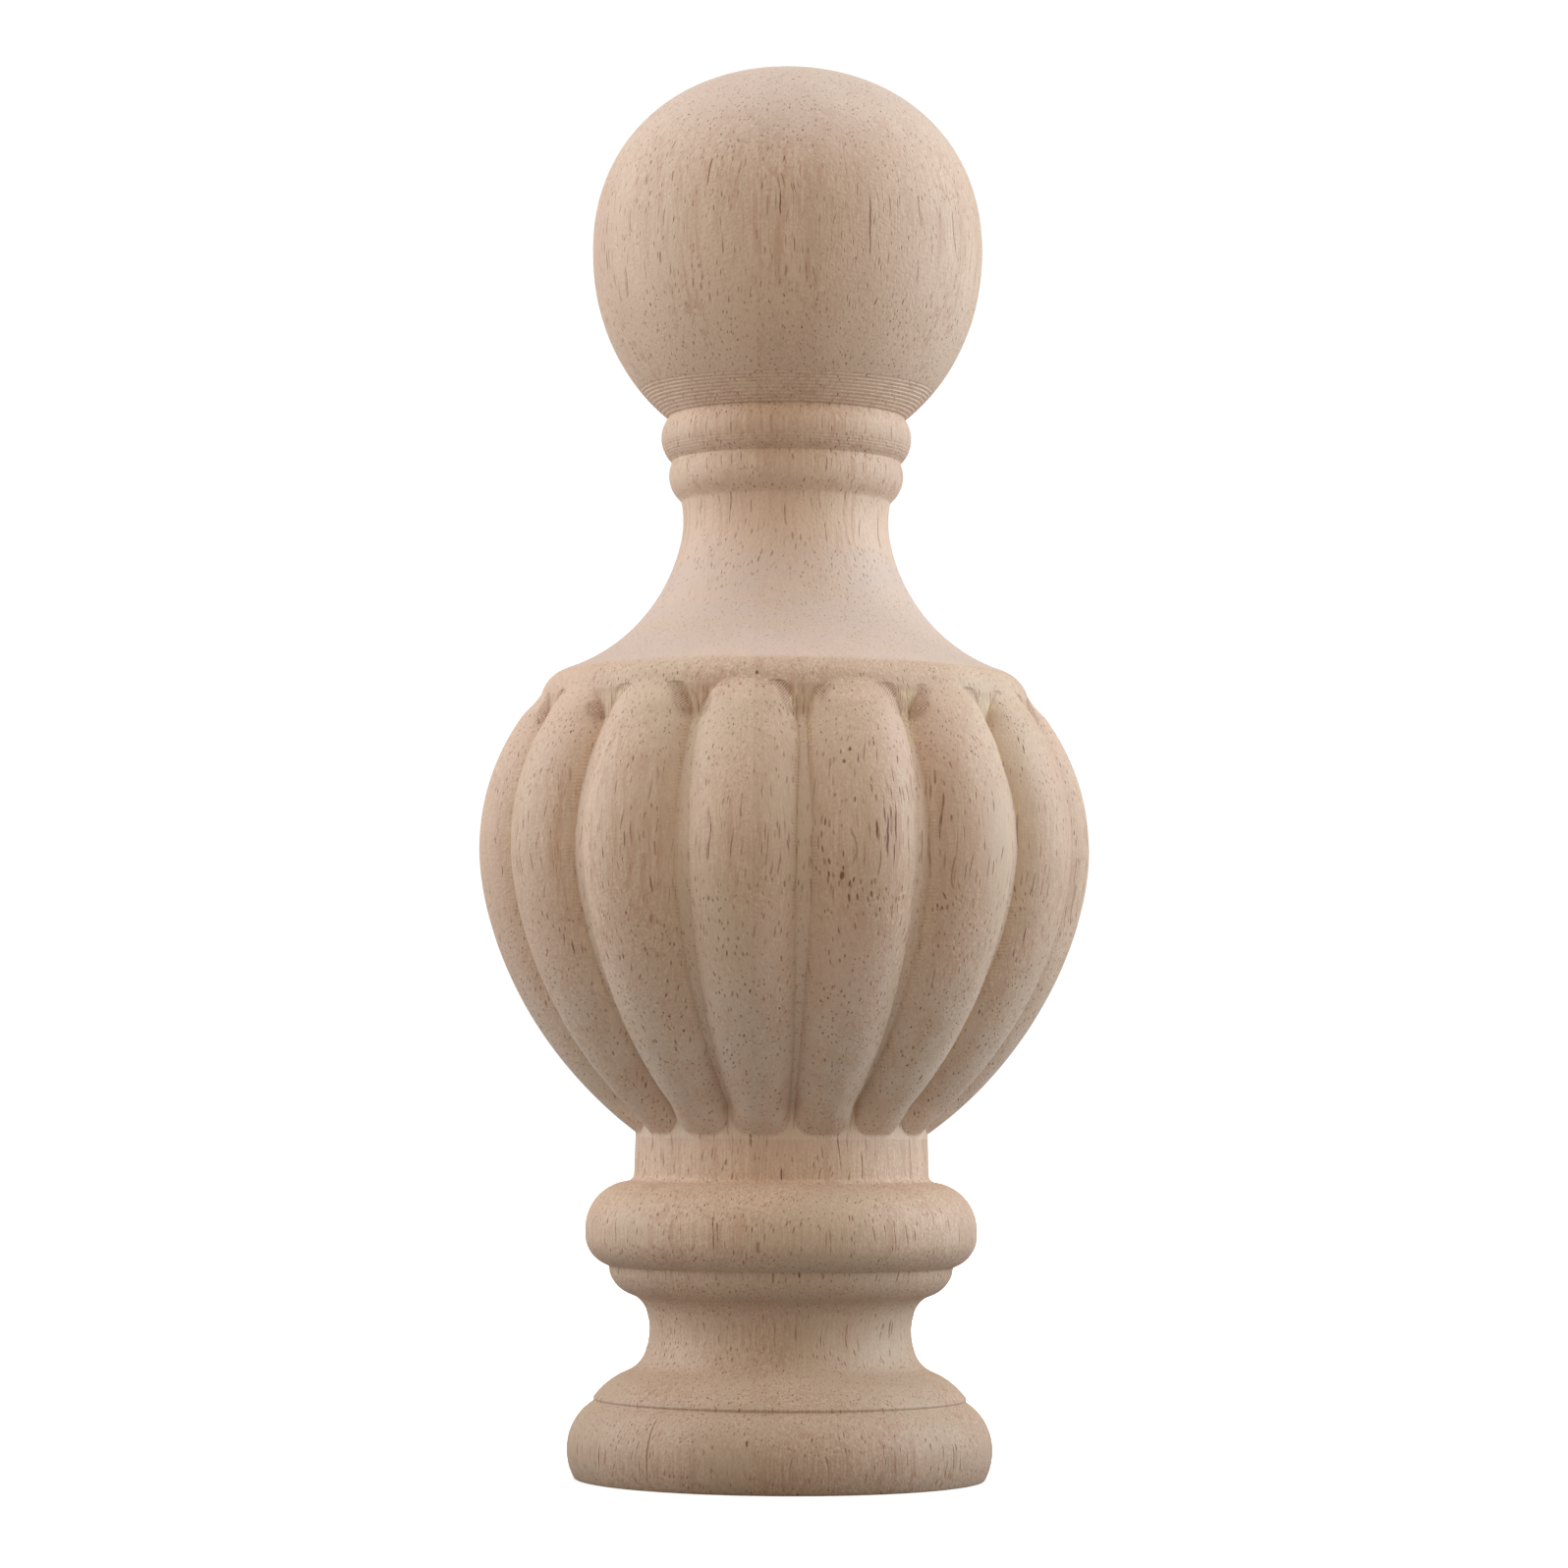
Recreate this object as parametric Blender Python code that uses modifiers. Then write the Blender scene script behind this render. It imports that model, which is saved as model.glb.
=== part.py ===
"""Wooden post finial, turned and carved from one block: a ball on a collar of two beads, a hollow neck,
a bulb of carved lobes under a shoulder, and a moulded foot that stands on its flat underside.

Sizes are in millimetres and heights are above the underside. A profile point is (radius, height)."""

import math

import bmesh
import bpy
from mathutils import Matrix

MM = 0.001
NAME = "finial"

# Ball: a sphere a little taller below its widest line than above it
BALL_RADIUS = 29.2
BALL_CENTRE = 182.0
BALL_RISE = 27.4
BALL_RISE_FULLNESS = 2.14
BALL_DROP = 31.2
BALL_DROP_FULLNESS = 2.04

# Collar: two beads, each between two quirks
BALL_QUIRK = (17.5, 157.1)
UPPER_BEAD = 4.85
BEAD_QUIRK = (17.1, 150.3)
LOWER_BEAD = 4.75
NECK_TOP = (15.85, 144.7)

# Neck: a tight hollow that runs on into a wide one, then the round shoulder down to the face of the band
NECK_START = (15.6, 144.3)
NECK_HOLLOW = 14.7
NECK_WAIST_END = (15.67, 138.2)
FLARE_HOLLOW = 26.4
FLARE_END = (33.0, 118.85)
SHOULDER_ROUND = 5.05
BAND_EDGE = (36.08, 115.7)
BAND_FOOT = (36.4, 114.5)

# Bulb: the curve over the crests of the lobes, and the curve along the bottom of the valleys
LOBES = 15
FRONT_VALLEY_TURN = 4.0
CREST_RADIUS = 45.35
CREST_WIDEST = 92.2
CREST_RISE = 38.0
CREST_RISE_FULLNESS = 2.05
CREST_DROP = 49.7
CREST_DROP_FULLNESS = 1.765
VALLEY_RADIUS = 41.8
VALLEY_WIDEST = 92.0
VALLEY_RISE = 36.5
VALLEY_RISE_FULLNESS = 2.0
VALLEY_DROP = 46.0
VALLEY_DROP_FULLNESS = 1.75
LOBE_ROUNDNESS = (2.0, 1.7)
VALLEY_HALF_FLOOR = 0.75
ARCH_TOP = 115.6
ARCH_FOOT = 107.0
ARCH_FULLNESS = 2.2
HEAD_FOOT = 112.0
HEAD_FULLNESS = 1.4
TIP_TOP = 53.3
TIP_FOOT = 50.0
TIP_FULLNESS = 2.0

# Foot: short neck, big torus, fillet, waisted cove and base bead
LOWER_NECK_TOP = (21.65, 50.0)
LOWER_NECK_FOOT = (21.9, 43.6)
TORUS_ROUND = 7.05
TORUS_WIDEST = (29.0, 36.2)
TORUS_UNDER_ROUND = 4.8
TORUS_QUIRK = (25.7, 31.2)
FILLET_TOP = (25.45, 31.0)
FILLET_FOOT = (25.4, 30.3)
COVE_UPPER_ROUND = 4.85
COVE_UPPER_TURN = (22.65, 27.1)
COVE_UPPER_HOLLOW = 3.95
WAIST_TOP = (19.75, 24.2)
WAIST_HOLLOW = 8.6
WAIST_FOOT = (19.85, 18.9)
COVE_LOWER_HOLLOW = 4.7
COVE_LOWER_TURN = (22.5, 15.75)
COVE_LOWER_ROUND = 10.9
COVE_FOOT = (27.6, 11.8)
BASE_QUIRK = (27.1, 11.3)
BASE_ROUND = 8.14
BASE_WIDEST = (31.38, 4.1)
BASE_FOOT = (30.25, 0.0)

# How finely the curves are faceted, and how near the bulb's end rows come to the band and the lower neck
COLUMNS_PER_LOBE = 6
BALL_ROWS = 7
CHORD_ERROR = 0.12
BULB_ROWS_ABOVE = 7
BULB_ROWS_BELOW = 9
BULB_MARGIN = 0.25
MERGE = 0.00005
SHARP_ANGLE = 40.0

WOOD_COLOUR = (0.60, 0.45, 0.345, 1.0)
WOOD_ROUGHNESS = 0.62


def clear_scene():
    for obj in list(bpy.data.objects):
        bpy.data.objects.remove(obj, do_unlink=True)


def fullness_radius(radius, share, fullness):
    """Radius of a rounded form at a share (0 to 1) of the way from its widest line to its end."""
    return radius * (1.0 - min(max(share, 0.0), 1.0) ** fullness) ** (1.0 / fullness)


def arc(start, end, radius, hollow=False):
    """Points of the round stretch from start to end, without start. A hollow one curves in."""
    (r0, z0), (r1, z1) = start, end
    across, down = r1 - r0, z1 - z0
    chord = math.hypot(across, down)
    reach = math.sqrt(max(radius**2 - (chord / 2) ** 2, 0.0))
    side = reach / chord * (1 if hollow else -1)
    centre = ((r0 + r1) / 2 - down * side, (z0 + z1) / 2 + across * side)
    first = math.atan2(z0 - centre[1], r0 - centre[0])
    turn = math.remainder(math.atan2(z1 - centre[1], r1 - centre[0]) - first, math.tau)
    facet = 2.0 * math.acos(1.0 - CHORD_ERROR / radius)
    steps = max(2, math.ceil(abs(turn) / facet))
    angles = [first + turn * step / steps for step in range(1, steps)]
    points = [(centre[0] + radius * math.cos(a), centre[1] + radius * math.sin(a)) for a in angles]
    return points + [end]


def ball():
    """From the crown down to the quirk above the collar."""
    points = []
    power = 2.0 / BALL_RISE_FULLNESS
    for row in range(BALL_ROWS + 1):
        angle = math.radians(90.0) * (1.0 - row / BALL_ROWS)
        radius = BALL_RADIUS * math.cos(angle) ** power if row else 0.0
        points.append((radius, BALL_CENTRE + BALL_RISE * math.sin(angle) ** power))
    end = math.asin((BALL_CENTRE - BALL_QUIRK[1]) / BALL_DROP)
    for row in range(1, BALL_ROWS - 1):
        share = math.sin(end * row / (BALL_ROWS - 1))
        height = BALL_CENTRE - BALL_DROP * share
        points.append((fullness_radius(BALL_RADIUS, share, BALL_DROP_FULLNESS), height))
    return points + [BALL_QUIRK]


def crest_radius(height):
    if height > CREST_WIDEST:
        return fullness_radius(CREST_RADIUS, (height - CREST_WIDEST) / CREST_RISE, CREST_RISE_FULLNESS)
    return fullness_radius(CREST_RADIUS, (CREST_WIDEST - height) / CREST_DROP, CREST_DROP_FULLNESS)


def valley_radius(height):
    """Bottom of the valleys, from the face of the band down to the surface of the lower neck."""
    if height > VALLEY_WIDEST:
        share = (height - VALLEY_WIDEST) / VALLEY_RISE
        radius = fullness_radius(VALLEY_RADIUS, share, VALLEY_RISE_FULLNESS)
        slope = (BAND_FOOT[0] - BAND_EDGE[0]) / (BAND_EDGE[1] - BAND_FOOT[1])
        return max(radius, BAND_FOOT[0] - slope * max(height - BAND_FOOT[1], 0.0))
    radius = fullness_radius(VALLEY_RADIUS, (VALLEY_WIDEST - height) / VALLEY_DROP, VALLEY_DROP_FULLNESS)
    return max(radius, LOWER_NECK_TOP[0])


def lobe_width(height, ground):
    """Share of its pitch that a lobe fills: an arch at the top, a blunt tip at the foot."""
    width = 1.0 - VALLEY_HALF_FLOOR / (ground * math.pi / LOBES)
    width = fullness_radius(width, (height - ARCH_FOOT) / (ARCH_TOP - ARCH_FOOT), ARCH_FULLNESS)
    return fullness_radius(width, (TIP_TOP - height) / (TIP_TOP - TIP_FOOT), TIP_FULLNESS)


def carved_radius(angle, height):
    """Radius of the carved bulb at an angle from a valley."""
    ground = valley_radius(height)
    stand = max(crest_radius(height) - ground, 0.0)
    stand = fullness_radius(stand, (height - HEAD_FOOT) / (ARCH_TOP - HEAD_FOOT), HEAD_FULLNESS)
    from_crest = abs((angle * LOBES / math.tau) % 1.0 - 0.5) * 2.0
    width = lobe_width(height, ground)
    if from_crest >= width:
        return ground
    side, top = LOBE_ROUNDNESS
    return ground + stand * (1.0 - (from_crest / width) ** side) ** (1.0 / top)


def bulb_rows():
    """Heights of the rows from the band to the lower neck, closer together towards both ends."""
    rise = BAND_EDGE[1] - BULB_MARGIN - CREST_WIDEST
    drop = CREST_WIDEST - LOWER_NECK_TOP[1] - BULB_MARGIN
    quarter = math.pi / 2
    above = [rise * math.sin(quarter * row / BULB_ROWS_ABOVE) for row in range(BULB_ROWS_ABOVE, 0, -1)]
    below = [-drop * math.sin(quarter * row / BULB_ROWS_BELOW) for row in range(BULB_ROWS_BELOW + 1)]
    return [CREST_WIDEST + step for step in above + below]


def profile():
    """The outline of the turned blank, from the crown to the middle of the underside."""
    points = ball()
    points += arc(BALL_QUIRK, BEAD_QUIRK, UPPER_BEAD)
    points += arc(BEAD_QUIRK, NECK_TOP, LOWER_BEAD)
    points += [NECK_START]
    points += arc(NECK_START, NECK_WAIST_END, NECK_HOLLOW, hollow=True)
    points += arc(NECK_WAIST_END, FLARE_END, FLARE_HOLLOW, hollow=True)
    points += arc(FLARE_END, BAND_EDGE, SHOULDER_ROUND)
    points += [(crest_radius(height), height) for height in bulb_rows()]
    points += [LOWER_NECK_TOP, LOWER_NECK_FOOT]
    points += arc(LOWER_NECK_FOOT, TORUS_WIDEST, TORUS_ROUND)
    points += arc(TORUS_WIDEST, TORUS_QUIRK, TORUS_UNDER_ROUND)
    points += [FILLET_TOP, FILLET_FOOT]
    points += arc(FILLET_FOOT, COVE_UPPER_TURN, COVE_UPPER_ROUND)
    points += arc(COVE_UPPER_TURN, WAIST_TOP, COVE_UPPER_HOLLOW, hollow=True)
    points += arc(WAIST_TOP, WAIST_FOOT, WAIST_HOLLOW, hollow=True)
    points += arc(WAIST_FOOT, COVE_LOWER_TURN, COVE_LOWER_HOLLOW, hollow=True)
    points += arc(COVE_LOWER_TURN, COVE_FOOT, COVE_LOWER_ROUND)
    points += [BASE_QUIRK]
    points += arc(BASE_QUIRK, BASE_WIDEST, BASE_ROUND)
    points += arc(BASE_WIDEST, BASE_FOOT, BASE_ROUND)
    return points + [(0.0, 0.0)]


def turn_blank(collection):
    """The profile spun about +Z, as a lathe turns it."""
    bm = bmesh.new()
    verts = [bm.verts.new((radius * MM, 0.0, height * MM)) for radius, height in profile()]
    for upper, lower in zip(verts, verts[1:]):
        bm.edges.new((upper, lower))
    outline = bpy.data.meshes.new(NAME + "_outline")
    bm.to_mesh(outline)
    bm.free()
    blank = bpy.data.objects.new(NAME + "_blank", outline)
    collection.objects.link(blank)
    screw = blank.modifiers.new("turn", "SCREW")
    screw.axis = "Z"
    screw.steps = LOBES * COLUMNS_PER_LOBE
    screw.render_steps = screw.steps
    screw.use_merge_vertices = True
    screw.merge_threshold = MERGE
    graph = bpy.context.evaluated_depsgraph_get()
    mesh = bpy.data.meshes.new_from_object(blank.evaluated_get(graph))
    bpy.data.objects.remove(blank, do_unlink=True)
    bpy.data.meshes.remove(outline)
    mesh.name = NAME
    return mesh


def column_of(vert):
    """Which column of the turned mesh a point stands in, counted from +X."""
    columns = LOBES * COLUMNS_PER_LOBE
    return round(math.atan2(vert.co.y, vert.co.x) / math.tau * columns) % columns


def in_bulb(height):
    return LOWER_NECK_TOP[1] + BULB_MARGIN / 2 < height < BAND_EDGE[1] - BULB_MARGIN / 2


def carve_lobes(bm):
    for vert in bm.verts:
        height = vert.co.z / MM
        if not in_bulb(height):
            continue
        angle = math.atan2(vert.co.y, vert.co.x)
        radius = carved_radius(angle, height) * MM
        vert.co.x = radius * math.cos(angle)
        vert.co.y = radius * math.sin(angle)


def thin_columns(bm):
    """Takes out every second column where the work is plain and round."""
    spare = []
    for edge in bm.edges:
        upper, lower = edge.verts
        if any(in_bulb(vert.co.z / MM) or vert.co.xy.length < MM for vert in (upper, lower)):
            continue
        if column_of(upper) == column_of(lower) and column_of(upper) % 2:
            spare.append(edge)
    bmesh.ops.dissolve_edges(bm, edges=spare, use_verts=True)


def wood():
    material = bpy.data.materials.new("bare_wood")
    material.use_nodes = True
    shader = material.node_tree.nodes["Principled BSDF"]
    shader.inputs["Base Color"].default_value = WOOD_COLOUR
    shader.inputs["Roughness"].default_value = WOOD_ROUGHNESS
    shader.inputs["Metallic"].default_value = 0.0
    material.diffuse_color = WOOD_COLOUR
    return material


def build_finial():
    collection = bpy.data.collections.new("post_finial")
    bpy.context.scene.collection.children.link(collection)
    mesh = turn_blank(collection)
    bm = bmesh.new()
    bm.from_mesh(mesh)
    carve_lobes(bm)
    thin_columns(bm)
    front = math.radians(FRONT_VALLEY_TURN - 90.0)
    bmesh.ops.transform(bm, matrix=Matrix.Rotation(front, 4, "Z"), verts=bm.verts)
    bm.to_mesh(mesh)
    bm.free()
    finial = bpy.data.objects.new(NAME, mesh)
    collection.objects.link(finial)
    mesh.materials.append(wood())
    mesh.shade_smooth()
    mesh.set_sharp_from_angle(angle=math.radians(SHARP_ANGLE))
    return finial


clear_scene()
build_finial()
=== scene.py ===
# %% [markdown]
# # A turned and carved post finial
#
# The object is the wooden ornament that stands on the post of a stair. It is one block of pale,
# unfinished rubberwood: a lathe gives it its outline, and a cutter then carves lobes round the bulb.
# This lesson makes it the same way. First comes the outline, then the carving, then the wood.
# The solid model is loaded first, because every size and place has to agree with it.

# %% Load the solid model as the frame
import math
from functools import partial, reduce

import bpy
from mathutils import Matrix, Vector


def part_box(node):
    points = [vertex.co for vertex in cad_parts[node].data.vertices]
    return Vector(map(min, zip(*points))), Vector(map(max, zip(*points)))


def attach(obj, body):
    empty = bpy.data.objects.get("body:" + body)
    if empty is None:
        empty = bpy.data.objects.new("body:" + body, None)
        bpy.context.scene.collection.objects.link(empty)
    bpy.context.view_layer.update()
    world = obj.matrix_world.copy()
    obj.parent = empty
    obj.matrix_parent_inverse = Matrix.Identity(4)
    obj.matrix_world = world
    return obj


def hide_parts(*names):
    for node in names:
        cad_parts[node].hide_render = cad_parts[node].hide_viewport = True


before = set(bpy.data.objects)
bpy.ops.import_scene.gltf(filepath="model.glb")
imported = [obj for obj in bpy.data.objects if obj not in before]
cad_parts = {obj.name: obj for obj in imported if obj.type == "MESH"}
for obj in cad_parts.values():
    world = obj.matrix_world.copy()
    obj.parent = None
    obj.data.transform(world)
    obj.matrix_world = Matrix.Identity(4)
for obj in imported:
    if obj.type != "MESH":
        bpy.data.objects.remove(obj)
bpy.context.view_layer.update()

MM = 0.001
solid_low, solid_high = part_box("finial")
print("its foot and crown, mm:", round(solid_low[2] / MM, 1), round(solid_high[2] / MM, 1))

# %% [markdown]
# ## The camera
#
# A camera is settled before the surfaces, so that each trial render can be held against the photograph.
# The ellipses that the turned edges make in the photo tell how high the lens was, and the height of the
# object in the frame tells how far away. It was a long lens, low down, tipped up a little.

# %% Camera of the photograph
PHOTO_SIDE = 1596
FOCAL_PIXELS = 4800.0
SENSOR_WIDTH = 36.0
CAMERA_PLACE = Vector((0.0, -699.2, 58.27)) * MM
LEVEL = 90.0
TIPPED_UP = 3.612
TURNED = 0.383

camera_data = bpy.data.cameras.new("photo_camera")
camera_data.sensor_width = SENSOR_WIDTH
camera_data.lens = FOCAL_PIXELS / PHOTO_SIDE * SENSOR_WIDTH
camera = bpy.data.objects.new("photo_camera", camera_data)
bpy.context.scene.collection.objects.link(camera)
# A new camera looks straight down, so a right angle brings it level.
tip = Matrix.Rotation(math.radians(LEVEL + TIPPED_UP), 4, "X")
look = tip @ Matrix.Rotation(math.radians(TURNED), 4, "Z")
camera.matrix_world = Matrix.Translation(CAMERA_PLACE) @ look
bpy.context.scene.camera = camera
print("lens, mm:", round(camera_data.lens, 1))

# %% [markdown]
# ## The outline that the lathe follows
#
# Half of the outline is enough, because everything that a lathe cuts is round. Turners name its parts:
# ball, bead, quirk (the small groove between two members), hollow, shoulder, torus, fillet and cove.
# Each curve is a circle's arc or a fullness curve, which is a circle that has been made a little squarer
# or a little leaner. Sizes are in millimetres, and a point is (radius, height above the underside). They
# are the sizes of the solid model, apart from two that differ by a few tenths: the softened corner above
# the torus and the quirk above the base bead.

# %% Sizes of the ball and of the crests of the lobes
BALL_RADIUS = 29.2
BALL_CENTRE = 182.0
BALL_RISE = 27.4
BALL_RISE_FULLNESS = 2.14
BALL_DROP = 31.2
BALL_DROP_FULLNESS = 2.04
CREST_RADIUS = 45.35
CREST_WIDEST = 92.2
CREST_RISE = 38.0
CREST_RISE_FULLNESS = 2.05
CREST_DROP = 49.7
CREST_DROP_FULLNESS = 1.765
print("crown of the outline, mm:", BALL_CENTRE + BALL_RISE)

# %% Sizes above and below the bulb
# Each stretch has a name, the point where it ends and its radius: 0 if straight, below 0 if hollow.
BALL_QUIRK = (17.5, 157.1)
BAND_EDGE = (36.08, 115.7)
UPPER_STRETCHES = (
    ("upper bead", (17.1, 150.3), 4.85),
    ("lower bead", (15.85, 144.7), 4.75),
    ("edge of the neck", (15.6, 144.3), 0),
    ("neck", (15.67, 138.2), -14.7),
    ("flare", (33.0, 118.85), -26.4),
    ("shoulder", BAND_EDGE, 5.05),
)
LOWER_NECK_TOP = (21.65, 50.0)
LOWER_STRETCHES = (
    ("lower neck", (21.85, 44.7), 0),
    ("softened corner", (22.85, 43.55), -1.1),
    ("torus", (29.0, 36.2), 7.05),
    ("torus from below", (25.7, 31.2), 4.8),
    ("quirk", (25.45, 31.0), 0),
    ("fillet", (25.4, 30.3), 0),
    ("round above the cove", (22.65, 27.1), 4.85),
    ("top of the cove", (19.75, 24.2), -3.95),
    ("waist of the cove", (19.85, 18.9), -8.6),
    ("foot of the cove", (22.5, 15.75), -4.7),
    ("spread under the cove", (27.6, 11.8), 10.9),
    ("base quirk", (27.4, 11.4), 0),
    ("base bead", (31.38, 4.1), 8.14),
    ("base bead from below", (30.25, 0.0), 8.14),
    ("underside", (0.0, 0.0), 0),
)
print("stretches above and below the bulb:", len(UPPER_STRETCHES), len(LOWER_STRETCHES))

# %% The two kinds of curve
FINE_STEP = 0.05


def fullness_radius(radius, share, fullness):
    """Radius of a rounded form at a share (0 to 1) of the way from its widest line to its end."""
    return radius * (1.0 - min(max(share, 0.0), 1.0) ** fullness) ** (1.0 / fullness)


def arc(start, end, radius, hollow=False):
    """Points of the round stretch from start to end, without start. A hollow one curves in."""
    (r0, z0), (r1, z1) = start, end
    across, down = r1 - r0, z1 - z0
    chord = math.hypot(across, down)
    reach = math.sqrt(max(radius**2 - (chord / 2) ** 2, 0.0))
    side = reach / chord * (1 if hollow else -1)
    centre = ((r0 + r1) / 2 - down * side, (z0 + z1) / 2 + across * side)
    first = math.atan2(z0 - centre[1], r0 - centre[0])
    turn = math.remainder(math.atan2(z1 - centre[1], r1 - centre[0]) - first, math.tau)
    steps = max(2, math.ceil(abs(turn) * radius / FINE_STEP))
    angles = [first + turn * step / steps for step in range(1, steps)]
    points = [(centre[0] + radius * math.cos(a), centre[1] + radius * math.sin(a)) for a in angles]
    return points + [end]


def straight(start, end):
    """Points of the straight stretch from start to end, without start."""
    steps = max(1, math.ceil(math.dist(start, end) / FINE_STEP))
    return [tuple(a + (b - a) * step / steps for a, b in zip(start, end)) for step in range(1, steps + 1)]


def along(start, stretches):
    """Points of all the stretches in turn, without start."""
    points = []
    for _, end, radius in stretches:
        points += arc(start, end, abs(radius), hollow=radius < 0) if radius else straight(start, end)
        start = end
    return points


# %% The whole outline, as fine points
def ball():
    """From the crown down to the quirk above the collar."""
    quarter = math.pi / 2
    steps = math.ceil(quarter * BALL_RADIUS / FINE_STEP)
    exponent = 2.0 / BALL_RISE_FULLNESS
    points = [(0.0, BALL_CENTRE + BALL_RISE)]
    for step in range(1, steps + 1):
        angle = quarter * (1.0 - step / steps)
        radius = BALL_RADIUS * math.cos(angle) ** exponent
        points.append((radius, BALL_CENTRE + BALL_RISE * math.sin(angle) ** exponent))
    end = math.asin((BALL_CENTRE - BALL_QUIRK[1]) / BALL_DROP)
    for step in range(1, steps):
        share = math.sin(end * step / steps)
        radius = fullness_radius(BALL_RADIUS, share, BALL_DROP_FULLNESS)
        points.append((radius, BALL_CENTRE - BALL_DROP * share))
    return points + [BALL_QUIRK]


def crest_radius(height):
    if height > CREST_WIDEST:
        return fullness_radius(CREST_RADIUS, (height - CREST_WIDEST) / CREST_RISE, CREST_RISE_FULLNESS)
    return fullness_radius(CREST_RADIUS, (CREST_WIDEST - height) / CREST_DROP, CREST_DROP_FULLNESS)


def crest_line():
    """The curve over the crests of the lobes, from the band to the lower neck."""
    top, foot = BAND_EDGE[1], LOWER_NECK_TOP[1]
    steps = math.ceil((top - foot) / FINE_STEP)
    heights = [top + (foot - top) * step / steps for step in range(1, steps)]
    return [(max(crest_radius(height), LOWER_NECK_TOP[0]), height) for height in heights]


upper_outline = ball() + along(BALL_QUIRK, UPPER_STRETCHES)
lower_outline = [LOWER_NECK_TOP] + along(LOWER_NECK_TOP, LOWER_STRETCHES)
print("fine points:", len(upper_outline), len(crest_line()), len(lower_outline))

# %% [markdown]
# ## Tool marks and worn edges in the outline
#
# Where the lathe's tool slowed down, under the ball, under the upper bead and at the top of the cove, it
# left fine rings less than half a millimetre apart. They are as round as the rest, so they belong in the
# outline: the radius dips by 0.03 to 0.14 mm at an even pitch. Real edges in wood are never knife sharp
# either, so each point moves to the middle of the 0.4 mm round it. The rings come after that, because it
# would wipe them out.

# %% Rings left by the tool, and eased edges
RING_ZONES = (
    {"foot": 157.2, "top": 161.6, "pitch": 0.45, "depth": 0.14},
    {"foot": 150.5, "top": 153.1, "pitch": 0.42, "depth": 0.045},
    {"foot": 24.6, "top": 27.9, "pitch": 0.36, "depth": 0.03},
)
RING_FADE = 0.2
EASE_POINTS = 4


def ringed(point):
    """The point with the dip of a ring. The rings die out in the top fifth of their zone."""
    radius, height = point
    for rings in RING_ZONES:
        if rings["foot"] < height < rings["top"]:
            share = (rings["top"] - height) / (rings["top"] - rings["foot"])
            wave = 0.5 - 0.5 * math.cos(math.tau * (height - rings["foot"]) / rings["pitch"])
            radius -= rings["depth"] * wave * min(1.0, share / RING_FADE)
    return radius, height


def eased(points):
    """Each point moved to the middle of its neighbours, which rounds the edges and keeps the ends."""
    smooth = list(points)
    for index in range(EASE_POINTS, len(points) - EASE_POINTS):
        near = points[index - EASE_POINTS : index + EASE_POINTS + 1]
        smooth[index] = tuple(sum(axis) / len(near) for axis in zip(*near))
    return smooth


print("rings:", [round((rings["top"] - rings["foot"]) / rings["pitch"]) for rings in RING_ZONES])

# %% Rows of the mesh: close together where the outline turns, far apart where it runs on
# A run is the way in mm from one row to the next. The zones are the heights of the lobes' heads and tips.
MOST_TURN = math.radians(7.0)
MOST_RUN = 1.7
BULB_RUN = 0.74
HEAD_RUN = 0.28
HEAD_ZONE = 110.8
TIP_ZONE = 53.6


def heading(start, end):
    return math.atan2(end[1] - start[1], end[0] - start[0])


def thinned(points):
    """The points that the mesh needs: a new one wherever the outline has turned or run on enough."""
    kept = [points[0]]
    last_heading = heading(points[0], points[1])
    for point, after in zip(points[1:], points[2:]):
        turned = abs(math.remainder(heading(point, after) - last_heading, math.tau))
        if turned > MOST_TURN or math.dist(kept[-1], point) > MOST_RUN:
            kept.append(point)
            last_heading = heading(point, after)
    return kept + [points[-1]]


def bulb_rows(points):
    """Rows over the lobes, closer together at their heads and tips."""
    kept = []
    for point in points:
        run = HEAD_RUN if point[1] > HEAD_ZONE or point[1] < TIP_ZONE else BULB_RUN
        if not kept or math.dist(kept[-1], point) >= run:
            kept.append(point)
    return kept


upper_rows = thinned([ringed(point) for point in eased(upper_outline)])
carved_rows = bulb_rows(crest_line())
lower_rows = thinned([ringed(point) for point in eased(lower_outline)])
print("rows: turned", len(upper_rows), "carved", len(carved_rows), "turned", len(lower_rows))

# %% [markdown]
# ## The sizes of the carving
#
# A lobe is as tall as the bulb, from a round head under the band to a blunt tip on the lower neck. It
# stands out from the ground: the bottom of the valleys, which is a second fullness curve inside the
# first, and between the heads the face of the band, which runs down into the valleys without a step.
# The photograph shows where the valleys lie, 24 degrees apart, so there are 15 lobes.

# %% Sizes of the carving
# Radii and heights are in mm and places round the axis in degrees. Fullnesses and shares are numbers.
FRONT = -90.0
VALLEY_PAST_FRONT = 4.0
CARVING = {
    "Lobes": 15.0,
    "First Valley": FRONT + VALLEY_PAST_FRONT,
    "Valley Radius": 41.8,
    "Valley Widest": 92.0,
    "Valley Rise": 36.5,
    "Valley Rise Fullness": 2.0,
    "Valley Drop": 46.0,
    "Valley Drop Fullness": 1.75,
    "Least Radius": LOWER_NECK_TOP[0],
    "Band Radius": 36.4,
    "Band Foot": 114.5,
    "Band Slope": 0.27,
    "Half Floor": 1.1,
    "Floor At Tip": 0.3,
    "Floor At Arch": 0.5,
    "Arch Top": 115.6,
    "Arch Foot": 107.0,
    "Arch Fullness": 2.4,
    "Head Foot": 112.0,
    "Head Fullness": 1.4,
    "Tip Foot": 50.0,
    "Tip Top": 53.3,
    "Tip Fullness": 2.0,
    "Side": 2.0,
    "Roundness": 1.5,
    "Least Packing": 0.55,
    "Ragged Edge": 0.06,
    "Waver": 0.07,
    "Waver Size": 11.0,
}
print("degrees from valley to valley:", 360 / CARVING["Lobes"])


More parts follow.
